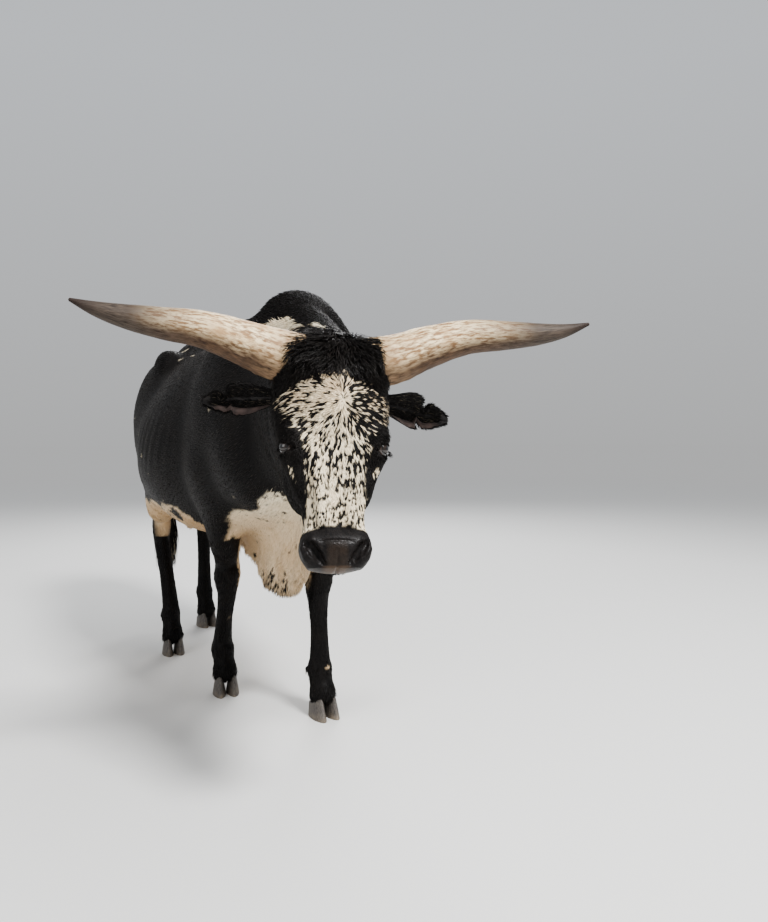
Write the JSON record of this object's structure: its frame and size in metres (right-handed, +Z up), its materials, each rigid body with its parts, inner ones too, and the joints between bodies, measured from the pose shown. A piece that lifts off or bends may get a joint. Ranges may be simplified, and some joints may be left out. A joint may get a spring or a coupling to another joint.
{
  "type": "nguni bull",
  "caption": "Life-size still model of a long-horned humped Nguni bull standing mid-step, head turned, with dewlap, cupped ragged ears, cloven hooves and a tufted tail.",
  "frame": {"origin": "centre of the bounding box in plan, at the level of the soles", "axes": "+Z up, the trunk runs along Y and faces -Y, +X is the bull's left"},
  "size_m": [1.1218, 2.3334, 1.3871],
  "materials": {
    "coat": "short glossy black hair with a white speckled blaze",
    "tail_hair": "long coarse hair",
    "eye": "wet, glossy",
    "horn": "fibrous cream horn with dark tips",
    "hoof": "worn grey horn"
  },
  "bodies": {
    "root": {"head": "coat", "neck": "coat", "torso": "coat", "hump": "coat", "foreleg_left": "coat", "foreleg_right": "coat", "hindleg_left": "coat", "hindleg_right": "coat", "ear_left": "coat", "ear_right": "coat", "tail": "coat", "tail_switch": "tail_hair", "eye_left": "eye", "eye_right": "eye", "horn_left": "horn", "horn_right": "horn", "foreclaw_left_inner": "hoof", "foreclaw_left_outer": "hoof", "foreclaw_right_inner": "hoof", "foreclaw_right_outer": "hoof", "hindclaw_left_inner": "hoof", "hindclaw_left_outer": "hoof", "hindclaw_right_inner": "hoof", "hindclaw_right_outer": "hoof"}
  },
  "joints": []
}
